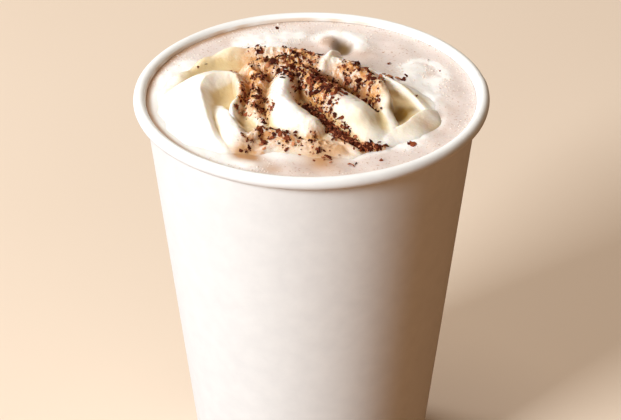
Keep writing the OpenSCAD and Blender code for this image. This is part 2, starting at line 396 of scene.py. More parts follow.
# Where the painted shade is darkest, a greenish brown deep in the hollows: rows of [x, y, radius,
# share]
DEEP_SHADE_SPOTS = [[21.2, -11.6, 1.8, 1.6], [22.8, -9.6, 1.8, 1.2], [25, -7.4, 1.5, 0.8],
         [22.2, -7.2, 1.4, 0.7], [-25, 12, 5, 0.2], [-18, 12, 4, 0.24], [-21.5, -1.5, 4, 0.26],
         [-17.6, -16.5, 1.1, 1.0], [-17, -20, 1.0, 0.9], [-15.8, -23.6, 0.9, 0.9],
         [-15.4, -12, 1.4, 0.5], [-16.6, -6, 1, 0.5]]
# Where fine cocoa lies on the cream: rows of [x, y, radius, share]
DUSTED = [[-15, 12, 4, 1.0], [-13, 6, 4.5, 1.0], [-14, 0, 4, 1.5], [-14, -7, 3.6, 1.4],
          [-13, -13, 3, 0.8], [-7, 12, 5, 1.1], [-2.5, 9.5, 4, 1.4], [-2, 3, 3.6, 1.2],
          [2, -3, 3.6, 1.4], [3, -8, 3.6, 1.2], [6, -5, 3.4, 1.4], [8, 1, 4, 1.2], [12, 1, 4, 0.8],
          [13, -3.6, 3.4, 0.8], [16.4, -6, 3, 0.7], [16.5, -11, 2, 0.4], [-12, -22.6, 3.4, 0.9],
          [-5.5, -24.4, 3, 0.8], [2, -24, 3, 0.8], [-1.6, -9.2, 1.8, 1.2], [3.2, -15.6, 2, 1.2],
          [8, -23.2, 2.2, 1.2], [13, -27.4, 2, 1.0], [0, 16, 4, 0.5], [-15.5, 18, 3, 0.5]]
# Where wet cocoa has soaked into the cream and the froth: rows of [x, y, radius, share]
COCOA = [[-16.4, -28.4, 3.0, 1.7], [-13.6, -31.4, 2.4, 0.6], [-11.6, -34.4, 2.5, 0.35],
         [5, -36, 3, 0.2], [31, -17, 5, 0.14], [4, -28.6, 4, 0.85], [-0.5, -28, 4, 0.5],
         [8, -27.5, 2.4, 0.8], [2, -33.5, 3, 0.5], [-9, -36, 2, 0.5], [2, -36, 8, 0.22],
         [13, 24, 3.4, 0.35], [-2, 25.5, 4, 0.35], [-12, 8, 4, 0.7], [-22, 31, 3, 0.25],
         [-3, 9, 5, 0.5], [-14, -7, 3, 0.6], [-13, -24, 3, 0.5], [30.5, 12, 1.2, 0.35],
         [28.5, -15.5, 2.2, 0.35], [31.5, -9.5, 2, 0.35], [35, -6, 2.4, 0.2]]


def spots(x, y, rows):
    """Sum over rows of [x, y, radius, share] of share exp(-(d / radius)^2)."""
    total = np.zeros_like(x)
    for px, py, radius, share in rows:
        total += share * np.exp(-((x - px) ** 2 + (y - py) ** 2) / radius ** 2)
    return total


def reach_at(turn):
    """Distance of the waterline from the cream's centre: a closed Catmull-Rom curve through
    REACH."""
    n = len(REACH)
    reach = np.asarray(REACH, float)
    u = (turn / (2 * np.pi) * n) % n
    i = np.floor(u).astype(int)
    near = (reach[(i + k) % n] for k in (-1, 0, 1, 2))
    return catmull_rom(*near, u - i)


def fold_relief(x, y, fold):
    """Height of one fold at each point (x, y), and the sideways lean there. With d the distance
    to the crest, w the half-width on that side and H the crest's height, the height is
    H (1 - (d / w)^a)^b, and the lean is towards the crest's right by lean (height / H)^2."""
    crest = smooth_line(fold["crest"])
    a, b = crest[:-1], crest[1:]
    along = b[:, :2] - a[:, :2]
    length = np.hypot(along[:, 0], along[:, 1])
    ux, uy = along[:, 0] / length, along[:, 1] / length
    best = np.zeros_like(x)
    lean_x, lean_y = np.zeros_like(x), np.zeros_like(x)
    reach = crest[:, 3:5].max() + 1
    near = ((x > crest[:, 0].min() - reach) & (x < crest[:, 0].max() + reach)
            & (y > crest[:, 1].min() - reach) & (y < crest[:, 1].max() + reach))
    px, py = x[near][:, None] - a[:, 0], y[near][:, None] - a[:, 1]
    t = np.clip((px * ux + py * uy) / length, 0, 1)
    dx, dy = px - t * along[:, 0], py - t * along[:, 1]
    d = np.hypot(dx, dy) + 1e-6
    side = (ux * dy - uy * dx) / d
    h, left, right = (a[:, k] + t * (b[:, k] - a[:, k]) for k in (2, 3, 4))
    share = (1 + side) / 2
    width = left * share + right * (1 - share)
    a_power, b_power = (p * share + q * (1 - share) for p, q in zip(fold["left"], fold["right"]))
    height = h * np.maximum(1 - (d / width) ** a_power, 0) ** b_power
    pick = height.argmax(axis=1)[:, None]
    top = np.take_along_axis(height, pick, 1)[:, 0]
    crest_h = np.take_along_axis(h, pick, 1)[:, 0]
    lean = fold["lean"] * (top / np.maximum(crest_h, 1e-3)) ** 2
    best[near] = top
    lean_x[near], lean_y[near] = lean * uy[pick[:, 0]], -lean * ux[pick[:, 0]]
    return best, lean_x, lean_y


def cream_relief(x, y, f):
    """Height of the cream over the drink's level and its sideways lean: the soft maximum of the
    body and all folds, with ripples and torn places, sinking below the level at the waterline,
    where f is 1, steeply or, where it melts, gently."""
    height = BODY_H * (1 - f ** 4) + 0.3
    lean_x, lean_y = np.zeros_like(x), np.zeros_like(x)
    for fold in FOLDS.values():
        h, lx, ly = fold_relief(x, y, fold)
        win = step(h - height, -BLEND, BLEND)
        lean_x += win * (lx - lean_x)
        lean_y += win * (ly - lean_y)
        height = soft_max(height, h, BLEND)
    height -= spots(x, y, PITS)
    wrinkle = sum(h * waves(x, y, length, count, SEED + i)
                  for i, (h, length, count) in enumerate(RIPPLES))
    torn = 0.45 - 0.55 * np.abs(waves(x, y, 2.6, 20, SEED + 3))
    torn += 0.12 * waves(x, y, 1.2, 20, SEED + 4)
    wrinkle += 0.95 * torn * np.clip(spots(x, y, TORN), 0, 1)
    height = height + wrinkle * step(height, 0.5, 3)
    turn = np.arctan2(y - CREAM_Y, x - CREAM_X)
    melting = step(np.cos(turn - MELTS_AT), 0.1, 0.9)
    melting = np.maximum(melting, 0.75 * step(np.cos(turn - CURL_AT), 0.86, 0.99))
    steep, gentle = 10, 3.5
    inside = 1 - f ** (steep + (gentle - steep) * melting)
    return height * inside - 0.4 * f ** 30, lean_x * inside, lean_y * inside


def make_cream():
    """The cream's skin on a square grid (u, v) bent to a disc, x = u sqrt(1 - v^2/2) and
    y = v sqrt(1 - u^2/2), which is then stretched to the waterline and raised to its folds. A
    skirt and a floor below the drink's level close it."""
    n = CREAM_GRID
    u, v = np.meshgrid(np.linspace(-1, 1, n), np.linspace(-1, 1, n), indexing="ij")
    disc_x, disc_y = u * np.sqrt(1 - v * v / 2), v * np.sqrt(1 - u * u / 2)
    f = np.hypot(disc_x, disc_y)
    turn = np.arctan2(disc_y, disc_x)
    reach = reach_at(turn) * (1 + 0.016 * np.sin(9 * turn) + 0.014 * np.sin(23 * turn + 1))
    x, y = CREAM_X + f * reach * np.cos(turn), CREAM_Y + f * reach * np.sin(turn)
    height, lean_x, lean_y = cream_relief(x, y, f)
    skin = np.stack([x + lean_x, y + lean_y, LEVEL + height], axis=-1).reshape(-1, 3)

    grid = np.arange(n * n).reshape(n, n)
    rim = grid_rim(grid)
    centre = np.array([CREAM_X, CREAM_Y, 0])
    skirt = []
    rings = ((0.99, 1.5), (0.96, 3.2), (0.9, DRAUGHT))
    for shrink, depth in rings:
        ring = centre + (skin[rim] - centre) * [shrink, shrink, 0]
        ring[:, 2] = LEVEL - depth
        skirt.append(ring)
    floor = [CREAM_X, CREAM_Y, LEVEL - DRAUGHT]
    points = np.vstack([skin, *skirt, floor])
    m = len(rim)
    rows = [rim] + [n * n + k * m + np.arange(m) for k in range(len(rings))]
    sides = [np.stack([p, q, np.roll(q, -1), np.roll(p, -1)], axis=-1)
             for p, q in zip(rows[:-1], rows[1:])]
    bottom = fan_faces(len(points) - 1, rows[-1], flip=True)
    piece = mesh_piece("whipped_cream_swirl", points, [grid_faces(grid), *sides, bottom])
    return piece, skin.reshape(n, n, 3)


# -------------------- the froth on the drink

# Strands of melted cream on the froth: rows of [x, y, height, half-width]
MELT = [
    [[28, -3, 0.35, 2.4], [29.5, 2, 0.55, 3.2], [28.6, 6, 0.55, 3.2], [31.5, 9, 0.35, 2.4]],
    [[25, 8, 0.45, 2.8], [26, 12, 0.6, 3.4], [26.5, 15.5, 0.45, 2.8]],
    [[23.5, 16, 0.2, 1.2], [27.5, 19.5, 0.25, 1.3], [32, 18, 0.25, 1.4], [34.4, 11, 0.2, 1.4]],
    [[-18, 30, 0.5, 3], [-15, 31.4, 0.8, 3.6], [-10, 32.5, 0.6, 3.8], [-4, 34, 0.3, 2.4]],
    [[-16, 24, 0.8, 3], [-10, 27, 0.8, 3.4]],
    [[-37, 2, 0.6, 3], [-36, 10, 0.6, 3], [-32, 17, 0.5, 3]],
    [[-35, -14, 0.5, 4], [-30, -24, 0.5, 4], [-22, -31, 0.4, 4], [-14, -33, 0.3, 3]],
    [[23, -25, 0.4, 1.8], [27, -20, 0.4, 2]],
    [[2, 32.5, 0.3, 2], [6, 35, 0.5, 2], [10.6, 34, 0.6, 2], [13, 30, 0.4, 1.8], [12.6, 26, 0.2, 1.6]],
]
DRINK_R = wall_inner(LEVEL) + OVERLAP
CLIMB = 0.4                         # how far the froth climbs the wall
UNDER = DRAUGHT + 0.1               # how far it is let down under the cream
# A small brown crater in the froth and the swelling beside it
HOLE_X, HOLE_Y, HOLE_R, HOLE_DEPTH = 8.4, 28, 2.7, 1.2
BUMP_X, BUMP_Y, BUMP_R, BUMP_H = 4.4, 29.6, 2.6, 0.7


def strand_relief(x, y, strands):
    """Height and whiteness of melted strands: the largest of H exp(-(d / w)^2) over them, and of
    exp(-(d / w)^2), with d the distance to the strand and w its half-width."""
    height, white = np.zeros_like(x), np.zeros_like(x)
    for strand in strands:
        row = smooth_line(strand, 6)
        for px, py, h, w in row:
            share = np.exp(-((x - px) ** 2 + (y - py) ** 2) / w ** 2)
            height = np.maximum(height, h * share)
            white = np.maximum(white, share)
    return height, white


def froth_relief(x, y, r):
    """Height of the froth over the level, and, each from 0 to 1, how white it is with melted
    cream, how deep in the crater, how brown with cocoa, which along the left wall is partly
    painted shade, and how thick with bubbles. It is raised by the melted strands, climbs the
    wall, and is let down under the cream."""
    inwards = DRINK_R - r
    height, white = strand_relief(x, y, MELT)
    broken = step(waves(x, y, 3.2, 24, SEED + 9), -1.3, 0.7)
    white = np.clip(2.0 * white * (0.5 + 0.5 * broken), 0, 1)
    height = height * (0.8 + 0.2 * broken)
    ripple = 0.10 * waves(x, y, 12, 12, SEED + 5) + 0.025 * waves(x, y, 3.5, 20, SEED + 6)
    height = height + ripple * step(inwards, 0.5, 4)
    away = np.hypot(x - HOLE_X, (y - HOLE_Y) * 0.62)
    hole = np.exp(-(away / HOLE_R) ** 4)
    beside = np.exp(-(np.hypot(x - BUMP_X, (y - BUMP_Y) * 0.8) / BUMP_R) ** 4)
    height += BUMP_H * beside - HOLE_DEPTH * hole
    height += CLIMB * np.exp(-inwards / 1.1)

    cream_turn = np.arctan2(y - CREAM_Y, x - CREAM_X)
    f = np.hypot(x - CREAM_X, y - CREAM_Y) / reach_at(cream_turn)
    melting = step(np.cos(cream_turn - MELTS_AT), 0, 0.8)
    melt = np.maximum(white, (0.5 + 0.4 * melting) * step(f, 1.04 + 0.14 * melting, 1.0))
    # wet cocoa, and a brown edge along the left wall that is partly cocoa and partly painted shade
    cocoa = spots(x, y, COCOA) + 0.8 * step(inwards, 2.0, 0.2) * step(-x, -5, 25)
    cocoa = np.clip(cocoa + 0.5 * beside, 0, 1)
    height = height * step(f, 0.9, 1.0) - UNDER * (1 - step(f, 0.86, 0.93))

    foam = white * (1 - white) + 0.35 * np.exp(-inwards / 1.2)
    foam *= (1 - cocoa) * (away > 1.6 * HOLE_R) * step(f, 1.03, 1.08)
    foam *= 1 - step(r, DRINK_R - 0.5, DRINK_R - 0.2)
    return height, {"melt": melt, "hole": hole, "cocoa": cocoa}, foam


def make_drink():
    """The drink: its surface is a disc of rings, raised to the froth's relief; then come a side
    down the wall, and a floor. Gives the piece, its surface, and where its bubbles are thick."""
    spokes, rings = 320, 112
    share = np.linspace(0, 1, rings + 1)[1:, None]
    turn = np.linspace(0, 2 * np.pi, spokes, endpoint=False)[None, :]
    r = DRINK_R * share
    x, y = r * np.cos(turn), r * np.sin(turn)
    height, looks, foam = froth_relief(x, y, r)
    surface = np.stack([x, y, LEVEL + height], axis=-1).reshape(-1, 3)
    side_z = np.linspace(LEVEL - 0.5, BASE_Z, 24)[:, None]
    side_r = wall_inner(side_z) + OVERLAP
    side = np.stack([side_r * np.cos(turn), side_r * np.sin(turn), side_z + 0 * turn],
                    axis=-1).reshape(-1, 3)
    top, bottom = [0, 0, LEVEL - UNDER], [0, 0, BASE_Z]
    points = np.vstack([surface, side, top, bottom])
    rows = rings + len(side_z)
    quads = ring_faces(rows, spokes)[:, ::-1]
    ends = [fan_faces(len(points) - 2, np.arange(spokes)),
            fan_faces(len(points) - 1, (rows - 1) * spokes + np.arange(spokes), flip=True)]
    piece = mesh_piece("hot_chocolate", points, [quads, *ends])
    for name, values in looks.items():
        paint(piece, name, values)
    return piece, surface.reshape(rings, spokes, 3), foam


# -------------------- chocolate

# Where the chocolate lies: rows of [x, y, radius, share]
DRIFTS = [[-15, 18, 3, 0.5], [-13, 15, 3, 0.4], [-5, 17, 3, 0.7], [-1, 17, 2.4, 0.8],
          [-12, 7, 3, 2.0], [-8, 8, 3, 2.4], [-4, 9, 4, 1.4], [0, 9, 2.6, 1.2], [-3, 3, 4, 1.6],
          [-6.5, 1, 2.4, 1.6], [-5.6, -2, 2, 0.8], [0, 0, 3, 1.8], [2.4, -3, 2.6, 1.6],
          [5, -6, 2.4, 1.4], [3.4, -7.4, 2, 1.2], [7.4, -5, 2, 1.2], [7.6, -9, 1.6, 0.5],
          [-13, 0, 2.6, 1.0], [-15.5, -7, 2.2, 1.6], [-13, -9, 2, 1.6], [-17.2, -5, 0.9, 3],
          [-17.6, -8.6, 0.9, 3], [-18.4, -12, 0.8, 2], [-16, -27.6, 0.8, 3], [-14, -28.2, 0.8, 3],
          [-11.8, -28.6, 0.8, 3], [-9.8, -28.4, 0.7, 2], [-11, -13, 2, 1.0], [-15, -2, 2, 0.8],
          [-4.2, -3, 2, 1.2], [-3.6, -7, 1.6, 1.2], [-1.6, -9.2, 1.3, 8], [0.2, -11.4, 1.3, 10],
          [2, -13.8, 1.3, 12], [3.6, -16.4, 1.3, 12], [5.4, -19, 1.4, 12], [7.4, -21.8, 1.4, 12],
          [9.6, -24.2, 1.4, 12], [12.2, -26.2, 1.4, 12], [14.8, -27, 1.3, 12], [17, -27.4, 1.2, 10],
          [1.8, -10, 1.4, 1.2], [-14, -12, 2.2, 1.6], [-11.5, -15.5, 1.8, 1.2], [2.5, -7, 2.8, 1.8],
          [5.5, -10, 2.4, 1.6], [0.5, -5, 2.4, 1.6], [4.5, -13, 1.8, 1.4], [7, 0, 2.4, 2.2],
          [10, -1, 2.4, 2.2], [5, -3, 2.4, 1.0], [10, 3, 2.4, 1.2], [12.5, -5, 1.6, 0.8],
          [14.6, -5, 2, 1.2], [16, -8, 1.2, 1.4], [15, -9.5, 1.2, 1.4], [16.5, -12, 1.2, 1.2],
          [15.5, -1, 2, 1.2], [14.5, 2.5, 1.5, 1.6], [18, 0.4, 1.4, 1.4], [19, -3, 1.6, 0.4],
          [-12.5, -21, 2, 1.4], [-9, -22.4, 2, 1.6], [-5.6, -23.6, 1.8, 1.6], [0, -24.6, 1.8, 1.2],
          [-16, -24, 1.6, 1.2], [-7, -27, 2, 1.2], [-3, -26, 1.6, 0.8], [4, -29, 2, 0.5],
          [-11, -26, 2, 0.6], [0.5, -28.9, 1.3, 1.4]]


def blur(values, passes):
    """Each value averaged with its four neighbours, passes times."""
    for _ in range(passes):
        edge = np.pad(values, 1, mode="edge")
        values = (edge[2:, 1:-1] + edge[:-2, 1:-1] + edge[1:-1, 2:] + edge[1:-1, :-2]
                  + values) / 5
    return values


def hollow_at(skin):
    """Painted shade of the cream, 0 to 1: how far each point lies down, its depth under the
    blurred surface at a narrow and at a wide blur, and more at the listed spots of painted shade."""
    height = skin[..., 2]
    narrow, wide = blur(height, 40), blur(height, 400)
    narrow_deep, wide_deep = 0.5, 2.0
    depth = 0.45 * (narrow - height) / narrow_deep + 0.5 * (wide - height) / wide_deep
    spot_shade = spots(skin[..., 0], skin[..., 1], PAINTED_SHADE_SPOTS)
    return np.clip(np.maximum(depth, 0) * (1 + spot_shade) + 0.42 * spot_shade, 0, 1)


def paint_cream(cream, skin):
    """Paints the cream with its cocoa dust, which lies in the drifts too, with the wet cocoa, and
    with painted shade in its hollows, darkest in the deepest ones."""
    x, y = skin[..., 0], skin[..., 1]
    soaked = spots(x, y, COCOA)
    dust = spots(x, y, DUSTED) + 0.3 * np.minimum(spots(x, y, DRIFTS), 4)
    paint(cream, "dust", np.clip(dust + 0.3 * soaked, 0, 1.5))
    paint(cream, "cocoa", np.clip(0.8 * soaked, 0, 1))
    paint(cream, "hollow", hollow_at(skin))
    paint(cream, "deep_shade", np.clip(spots(x, y, DEEP_SHADE_SPOTS), 0, 1))


def cell_normals(skin):
    """Cross product of the two tangents of a grid of points: along the normal, and as long as a
    cell is large."""
    return np.cross(np.gradient(skin, axis=0), np.gradient(skin, axis=1))


def grid_normals(skin):
    """Unit normals of a grid of points, facing up."""
    normal = cell_normals(skin)
    normal /= np.linalg.norm(normal, axis=-1, keepdims=True) + 1e-12
    return normal * np.sign(normal[..., 2:3].mean())


def scatter(rng, count, skin, weight):
    """count places on a grid of points, drawn with the chance that weight gives each cell, and
    the surface's normal there. A cell's chance also grows with its area."""
    normal = grid_normals(skin)
    size = np.linalg.norm(cell_normals(skin), axis=-1)
    chance = (weight * size).ravel()
    picks = rng.choice(chance.size, count, p=chance / chance.sum())
    return skin.reshape(-1, 3)[picks], normal.reshape(-1, 3)[picks]


def frames_on(rng, normal, tilt):
    """Rotation matrices whose third axis is the normal leaned over by up to about tilt, turned
    at random about it."""
    up = normal + tilt * rng.normal(size=normal.shape)
    up /= np.linalg.norm(up, axis=1, keepdims=True)
    first = np.cross(up, rng.normal(size=normal.shape))
    first /= np.linalg.norm(first, axis=1, keepdims=True)
    return np.stack([first, np.cross(up, first), up], axis=-1)


def shaving_shape(rng):
    """A thin curled flake: a strip u along and v across, bent to an arc, with ragged sides and a
    top and an underside a tenth of its length apart."""
    u, v = np.meshgrid(np.linspace(-0.5, 0.5, 5), np.linspace(-0.5, 0.5, 3), indexing="ij")
    width = rng.uniform(0.35, 0.8) * (1 - 0.5 * np.abs(2 * u) ** 2)
    bend = rng.uniform(0.1, 1.6)
    ragged = rng.normal(0, 0.09, u.shape)
    x, y = u + ragged * 0.6, (v + rng.uniform(-0.2, 0.2) * u) * width + ragged
    z = bend * 0.5 * (0.25 - u * u) + 0.15 * rng.normal() * v * v
    thick = 0.10
    sheet = np.stack([x, y, z], axis=-1).reshape(-1, 3)
    points = np.vstack([sheet, sheet - [0, 0, thick]])
    grid = np.arange(u.size).reshape(u.shape)
    top, rim = grid_faces(grid), grid_rim(grid)
    side = np.stack([rim, rim + u.size, np.roll(rim, -1) + u.size, np.roll(rim, -1)], axis=-1)
    return points, np.vstack([top, top[:, ::-1] + u.size, side])


def crumb_shape(rng):
    """A crumb: the corners of a cube, each pushed in or out at random."""
    points = np.array([[i, j, k] for i in (-1, 1) for j in (-1, 1) for k in (-1, 1)]) * 0.33
    points = points * rng.uniform(0.5, 1.35, (8, 1)) + rng.normal(0, 0.06, (8, 3))
    faces = np.array([[0, 1, 3, 2], [4, 6, 7, 5], [0, 4, 5, 1], [2, 3, 7, 6],
                      [0, 2, 6, 4], [1, 5, 7, 3]])
    return points, faces


def bubble_shape():
    """A small ball of five rings of eight points and two poles, a little flattened."""
    tall = np.radians(np.linspace(-60, 60, 5))[:, None]
    turn = np.radians(np.arange(0, 360, 45))[None, :]
    rings = np.stack([np.cos(tall) * np.cos(turn), np.cos(tall) * np.sin(turn),
                      0.8 * np.sin(tall) + 0 * turn], axis=-1).reshape(-1, 3)
    points = np.vstack([rings, [0, 0, -0.8], [0, 0, 0.8]])
    around = np.arange(8)
    caps = [fan_faces(40, around, flip=True), fan_faces(41, 32 + around)]
    return points, ring_faces(5, 8), np.vstack(caps)


def make_bubbles(skin, foam):
    """Bubbles of the froth: balls that stand a little out of it, drawn with the chance foam."""
    rng = np.random.default_rng(SEED + 20)
    count = 1500
    places, _ = scatter(rng, count, skin, foam)
    points, quads, caps = bubble_shape()
    sizes = np.clip(rng.lognormal(-1.9, 0.4, count), 0.08, 0.4)[:, None, None]
    world = (places[:, None, :] + (points[None] - [0, 0, 0.35]) * sizes).reshape(-1, 3)
    offset = np.arange(count)[:, None, None] * len(points)
    return mesh_piece("froth_bubbles", world, [(quads[None] + offset).reshape(-1, 4),
                                               (caps[None] + offset).reshape(-1, 3)])


def scattered_piece(name, rng, shapes, places, turns, sizes, lifts):
    """One mesh of many small things: copy i of a shape is turned, sized and lifted off its
    place, point = place + size (turn . point) + lift up."""
    all_points, all_faces, shades, first = [], [], [], 0
    kind = rng.integers(len(shapes), size=len(places))
    for k, (points, faces) in enumerate(shapes):
        mine = kind == k
        stretch = rng.uniform(0.75, 1.25, (mine.sum(), 1, 3))
        local = points[None] * stretch * sizes[mine, None, None]
        world = np.einsum("nij,npj->npi", turns[mine], local)
        world += (places[mine] + turns[mine][:, :, 2] * lifts[mine, None])[:, None, :]
        count = mine.sum()
        offset = first + np.arange(count)[:, None, None] * len(points)
        all_points.append(world.reshape(-1, 3))
        all_faces.append((faces[None] + offset).reshape(-1, 4))
        shades.append(np.repeat(rng.uniform(0, 1, count), len(points)))
        first += count * len(points)
    piece = mesh_piece(name, np.vstack(all_points), [np.vstack(all_faces)], sharp=30)
    paint(piece, "shade", np.concatenate(shades))
    return piece


def sprinkle(name, rng, skin, weight, count, shape, kinds, size, tilt, lift):
    """count small things of some random kinds of a shape, strewn on the skin by weight. size is
    (log of the typical size, its spread, smallest, largest)."""
    typical, spread, smallest, largest = size
    places, normals = scatter(rng, count, skin, weight)
    sizes = np.clip(rng.lognormal(typical, spread, count), smallest, largest)
    shapes = [shape(rng) for _ in range(kinds)]
    turns = frames_on(rng, normals, tilt)
    return scattered_piece(name, rng, shapes, places, turns, sizes, rng.uniform(0, lift, count))


# Single flakes that lie apart from the drifts: rows of [x, y, size]
STRAYS = [[-9.5, 38, 1.9], [20, 18.5, 1.3], [17.4, 10.8, 2.4], [18.6, 9.8, 2.8], [19.8, 10.4, 3.0],
          [21, 9.2, 3.0], [22.2, 9.9, 2.6], [23.4, 8.8, 2.2], [20.4, 8.6, 2.4], [24.4, 10.6, 1.8],
          [0.6, -28.4, 2.6], [3, -30.6, 2.2], [4.3, -31.2, 3.0], [3.4, -31.4, 1.3], [4.5, -33, 1.1],
          [10, -34.2, 2.6], [10.8, -33.4, 1.2], [17, -32, 1.8], [24.8, -23.5, 3.2],
          [23.8, -24.2, 2.2], [-29, 12.5, 0.9], [-27, 13.5, 0.9], [-21, 11.4, 1.9],
          [-19.6, 10.8, 1.6], [-17.6, 11.5, 1.2], [-16.5, -0.5, 1.3], [30.5, 20, 0.8],
          [33, 14, 0.7], [7, -29.8, 1.0], [0.5, -31.6, 0.9], [-3, -29, 1.0], [26.5, -3.4, 1.0],
          [17, -1.5, 1.5], [17.4, -3.2, 1.2], [14.2, -0.8, 1.3], [-19.6, -8.5, 0.7]]


def make_strays(rng, skins):
    """The strays, each laid on the nearest point of the given surfaces."""
    ground = np.vstack([skin.reshape(-1, 3) for skin in skins])
    spots_xy = np.array(STRAYS)
    gap = np.hypot(ground[:, 0] - spots_xy[:, :1], ground[:, 1] - spots_xy[:, 1:2])
    places = ground[gap.argmin(axis=1)]
    turns = frames_on(rng, np.tile([0.0, 0.0, 1.0], (len(places), 1)), 0.5)
    return scattered_piece("stray_flakes", rng, [shaving_shape(rng) for _ in range(5)], places,
                           turns, 0.8 * spots_xy[:, 2], np.full(len(places), 0.12))


def make_chocolate(skin, froth):
    """Shavings and crumbs on the cream, packed in the thickest drifts and in loose clumps in the
    thinner ones, and the strays."""
    rng = np.random.default_rng(SEED)
    normal = grid_normals(skin)
    x, y = skin[..., 0], skin[..., 1]
    clumps = step(waves(x, y, 2.6, 30, SEED + 8), -0.2, 1.0)
    above = step(skin[..., 2] - LEVEL, 0.2, 0.8)
    drifts = spots(x, y, DRIFTS)
    thick = step(drifts, 4, 7)
    weight = drifts * (0.1 + clumps * (1 - thick) + thick)
    weight = weight * step(drifts, 0.15, 0.45) * above * np.clip(normal[..., 2] + 0.25, 0.1, 1)
    shavings = sprinkle("chocolate_shavings", rng, skin, weight, count=1650, shape=shaving_shape,
                        kinds=12, size=(0.02, 0.32, 0.4, 1.8), tilt=0.45, lift=0.35)
    crumbs = sprinkle("chocolate_crumbs", rng, skin, weight, count=4000, shape=crumb_shape,
                      kinds=8, size=(-1.2, 0.4, 0.12, 0.8), tilt=1.0, lift=0.15)
    inside = froth[..., 2] > LEVEL - 2
    return [shavings, crumbs, make_strays(rng, [skin[skin[..., 2] > LEVEL], froth[inside]])]


# -------------------- materials


def new_material(name):
    """A new material, its node tree and shader, and the Object coordinates."""
    material = bpy.data.materials.new(name)
    material.use_nodes = True
    tree = material.node_tree
    shader = tree.nodes["Principled BSDF"]
    where = tree.nodes.new("ShaderNodeTexCoord").outputs["Object"]
    return material, tree, shader, where


def noise(tree, where, scale, detail=4, roughness=0.55):
    """A noise texture on Object coordinates, scale in waves per metre."""
    node = tree.nodes.new("ShaderNodeTexNoise")
    node.inputs["Scale"].default_value = scale
    node.inputs["Detail"].default_value = detail
    node.inputs["Roughness"].default_value = roughness
    tree.links.new(where, node.inputs["Vector"])
    return node.outputs["Fac"]


def ramp(tree, value, stops):
    """Colours by value: stops are (position, colour)."""
    node = tree.nodes.new("ShaderNodeValToRGB")
    marks = node.color_ramp.elements
    while len(marks) < len(stops):
        marks.new(0.5)
    for mark, (position, colour) in zip(marks, stops):
        mark.position = position
        mark.color = (*colour, 1)
    tree.links.new(value, node.inputs["Fac"])
    return node.outputs["Color"]


def mix(tree, factor, a, b, blend="MIX"):
    """Colour a where factor is 0 and b, or its blend with a, where it is 1."""
    node = tree.nodes.new("ShaderNodeMix")
    node.data_type = "RGBA"
    node.blend_type = blend
    for value, socket in ((factor, node.inputs["Factor"]), (a, node.inputs["A"]),
                          (b, node.inputs["B"])):
        if isinstance(value, (int, float)):
            socket.default_value = value
        elif isinstance(value, tuple):
            socket.default_value = (*value, 1)
        else:
            tree.links.new(value, socket)
    return node.outputs["Result"]


def blotchy(tree, where, name):
    """A painted number, broken up into blotches of a millimetre and into grains."""
    last = attribute(tree, name)
    for scale, low, high in ((600, 0.39, 0.54), (3000, 0.35, 0.49)):
        node = tree.nodes.new("ShaderNodeMath")
        node.operation = "MULTIPLY"
        tree.links.new(last, node.inputs[0])
        blots = ramp(tree, noise(tree, where, scale, 4, 0.65),
                     [(low, (0.4, 0.4, 0.4)), (high, (1, 1, 1))])
        tree.links.new(blots, node.inputs[1])
        last = node.outputs["Value"]
    return last


def attribute(tree, name):
    """A painted number."""
    node = tree.nodes.new("ShaderNodeAttribute")
    node.attribute_name = name
    return node.outputs["Fac"]


def bump(tree, shader, heights):
    """Small relief: each of heights is (texture value, strength, depth in metres)."""
    last = None
    for value, strength, depth in heights:
        node = tree.nodes.new("ShaderNodeBump")
        node.inputs["Strength"].default_value = strength
        node.inputs["Distance"].default_value = depth
        tree.links.new(value, node.inputs["Height"])
        if last:
            tree.links.new(last, node.inputs["Normal"])
        last = node.outputs["Normal"]
    tree.links.new(last, shader.inputs["Normal"])


def paper_material():
    """Matte white paperboard with a faint mottle of its fibres."""
    material, tree, shader, where = new_material("white_paperboard")
    mottle = noise(tree, where, 220, 5)
    white = ramp(tree, mottle, [(0.3, (0.85, 0.865, 0.875)), (0.7, (0.90, 0.915, 0.92))])
    # the tide line on the inner face: partly a real stain, partly painted shade
    stain_and_shade = mix(tree, attribute(tree, "stain_and_shade"), white, (0.60, 0.38, 0.21))
    tree.links.new(stain_and_shade, shader.inputs["Base Color"])
    shader.inputs["Roughness"].default_value = 0.62
    shader.inputs["Specular IOR Level"].default_value = 0.15
    bump(tree, shader, [(noise(tree, where, 900, 4), 0.12, 0.0001), (mottle, 0.10, 0.0004)])
    return material


def cream_material():
    """Whipped cream: warm white, soft inside, with fine air holes."""
    material, tree, shader, where = new_material("whipped_cream")
    patchy = noise(tree, where, 260, 4)
    body = ramp(tree, patchy, [(0.3, (0.92, 0.89, 0.83)), (0.7, (0.94, 0.93, 0.90))])
    # painted shade: the hollows and the listed spots tinted a warm beige
    deep = mix(tree, attribute(tree, "hollow"), body, (0.70, 0.555, 0.32))
    # painted shade: the darkest hollows tinted a deep greenish brown
    deep_shade = mix(tree, attribute(tree, "deep_shade"), deep, (0.27, 0.14, 0.008))
    dust = mix(tree, blotchy(tree, where, "dust"), deep_shade, (0.62, 0.285, 0.088))
    stained = mix(tree, attribute(tree, "cocoa"), dust, (0.54, 0.30, 0.14))
    tree.links.new(stained, shader.inputs["Base Color"])
    shader.inputs["Roughness"].default_value = 0.42
    shader.inputs["Subsurface Weight"].default_value = 0.6
    shader.inputs["Subsurface Radius"].default_value = (1.0, 0.72, 0.42)
    shader.inputs["Subsurface Scale"].default_value = 0.0022
    bump(tree, shader, [(noise(tree, where, 2200, 3), 0.25, 0.0002),
                        (noise(tree, where, 700, 4), 0.30, 0.0005)])
    return material


